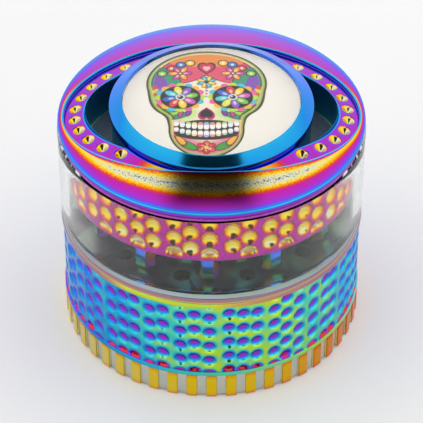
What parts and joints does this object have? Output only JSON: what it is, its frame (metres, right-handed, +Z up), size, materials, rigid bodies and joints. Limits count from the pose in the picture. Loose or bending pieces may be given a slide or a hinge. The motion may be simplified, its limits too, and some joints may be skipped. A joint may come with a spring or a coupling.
{
  "type": "herb grinder",
  "caption": "Round screw-together herb grinder: castellated pollen cup, dimpled body with a screen, toothed chamber in a clear window ring, lid with finger pockets and a domed medallion.",
  "frame": {"origin": "centre of the base's flat underside, where it rests", "axes": "+Z up along the common screw and spin axis, -Y towards the front, +X along the eye-shaped recess"},
  "size_m": [0.0632, 0.0632, 0.0546],
  "materials": {
    "rainbow_metal_gold": "gloss",
    "rainbow_metal_teal": "gloss",
    "rainbow_metal_pink": "gloss",
    "rainbow_metal_magenta": "gloss",
    "rainbow_metal_blue": "gloss",
    "steel_wire": "satin",
    "steel_mesh": "satin",
    "pressed_steel": "satin",
    "nickel_magnet": "polished",
    "clear_silicone": "satin",
    "clear_acrylic": "gloss",
    "clear_resin": "gloss",
    "nylon": "satin",
    "foam_tape": "matte",
    "printed_disc": "gloss"
  },
  "bodies": {
    "base": {"base_cup": "rainbow_metal_gold"},
    "clip": {"screen_clip": "steel_wire"},
    "body": {"body_tube": "rainbow_metal_teal", "screen_mesh": "steel_mesh", "screen_ring_lower": "pressed_steel", "screen_ring_upper": "pressed_steel"},
    "seal": {"window_seal": "clear_silicone"},
    "chamber": {"grinding_floor": "rainbow_metal_pink", "floor_teeth_outer": "rainbow_metal_pink", "floor_teeth_inner": "rainbow_metal_pink", "floor_magnet": "nickel_magnet", "window_ring": "clear_acrylic"},
    "glide": {"glide_ring": "nylon"},
    "lid": {"lid_shell": "rainbow_metal_magenta", "lid_teeth_outer": "rainbow_metal_blue", "lid_teeth_inner": "rainbow_metal_blue", "lid_pivot": "rainbow_metal_blue", "lid_magnet": "nickel_magnet", "medallion_bezel": "rainbow_metal_blue", "medallion_pad": "foam_tape", "medallion_print": "printed_disc", "medallion_dome": "clear_resin"}
  },
  "joints": [
    {"name": "body_rise", "type": "slide", "parent": "base", "child": "clip", "axis": [0, 0, 1], "range_m": [0, 0.0036]},
    {"name": "body_unscrew", "type": "hinge", "parent": "clip", "child": "body", "pos_m": [0, 0, 0.0059], "axis": [0, 0, 1], "range_deg": [0, 630]},
    {"name": "chamber_rise", "type": "slide", "parent": "body", "child": "seal", "axis": [0, 0, 1], "range_m": [0, 0.0036]},
    {"name": "chamber_unscrew", "type": "hinge", "parent": "seal", "child": "chamber", "pos_m": [0, 0, 0.0262], "axis": [0, 0, 1], "range_deg": [0, 630]},
    {"name": "lid_lift", "type": "slide", "parent": "chamber", "child": "glide", "axis": [0, 0, 1], "range_m": [0, 0.03]},
    {"name": "lid_spin", "type": "hinge", "parent": "glide", "child": "lid", "pos_m": [0, 0, 0.0483], "axis": [0, 0, 1], "continuous": true}
  ],
  "couplings": [
    {"joint": "body_rise", "follows": "body_unscrew", "m_per_rad": 0.00031831},
    {"joint": "chamber_rise", "follows": "chamber_unscrew", "m_per_rad": 0.00031831}
  ]
}
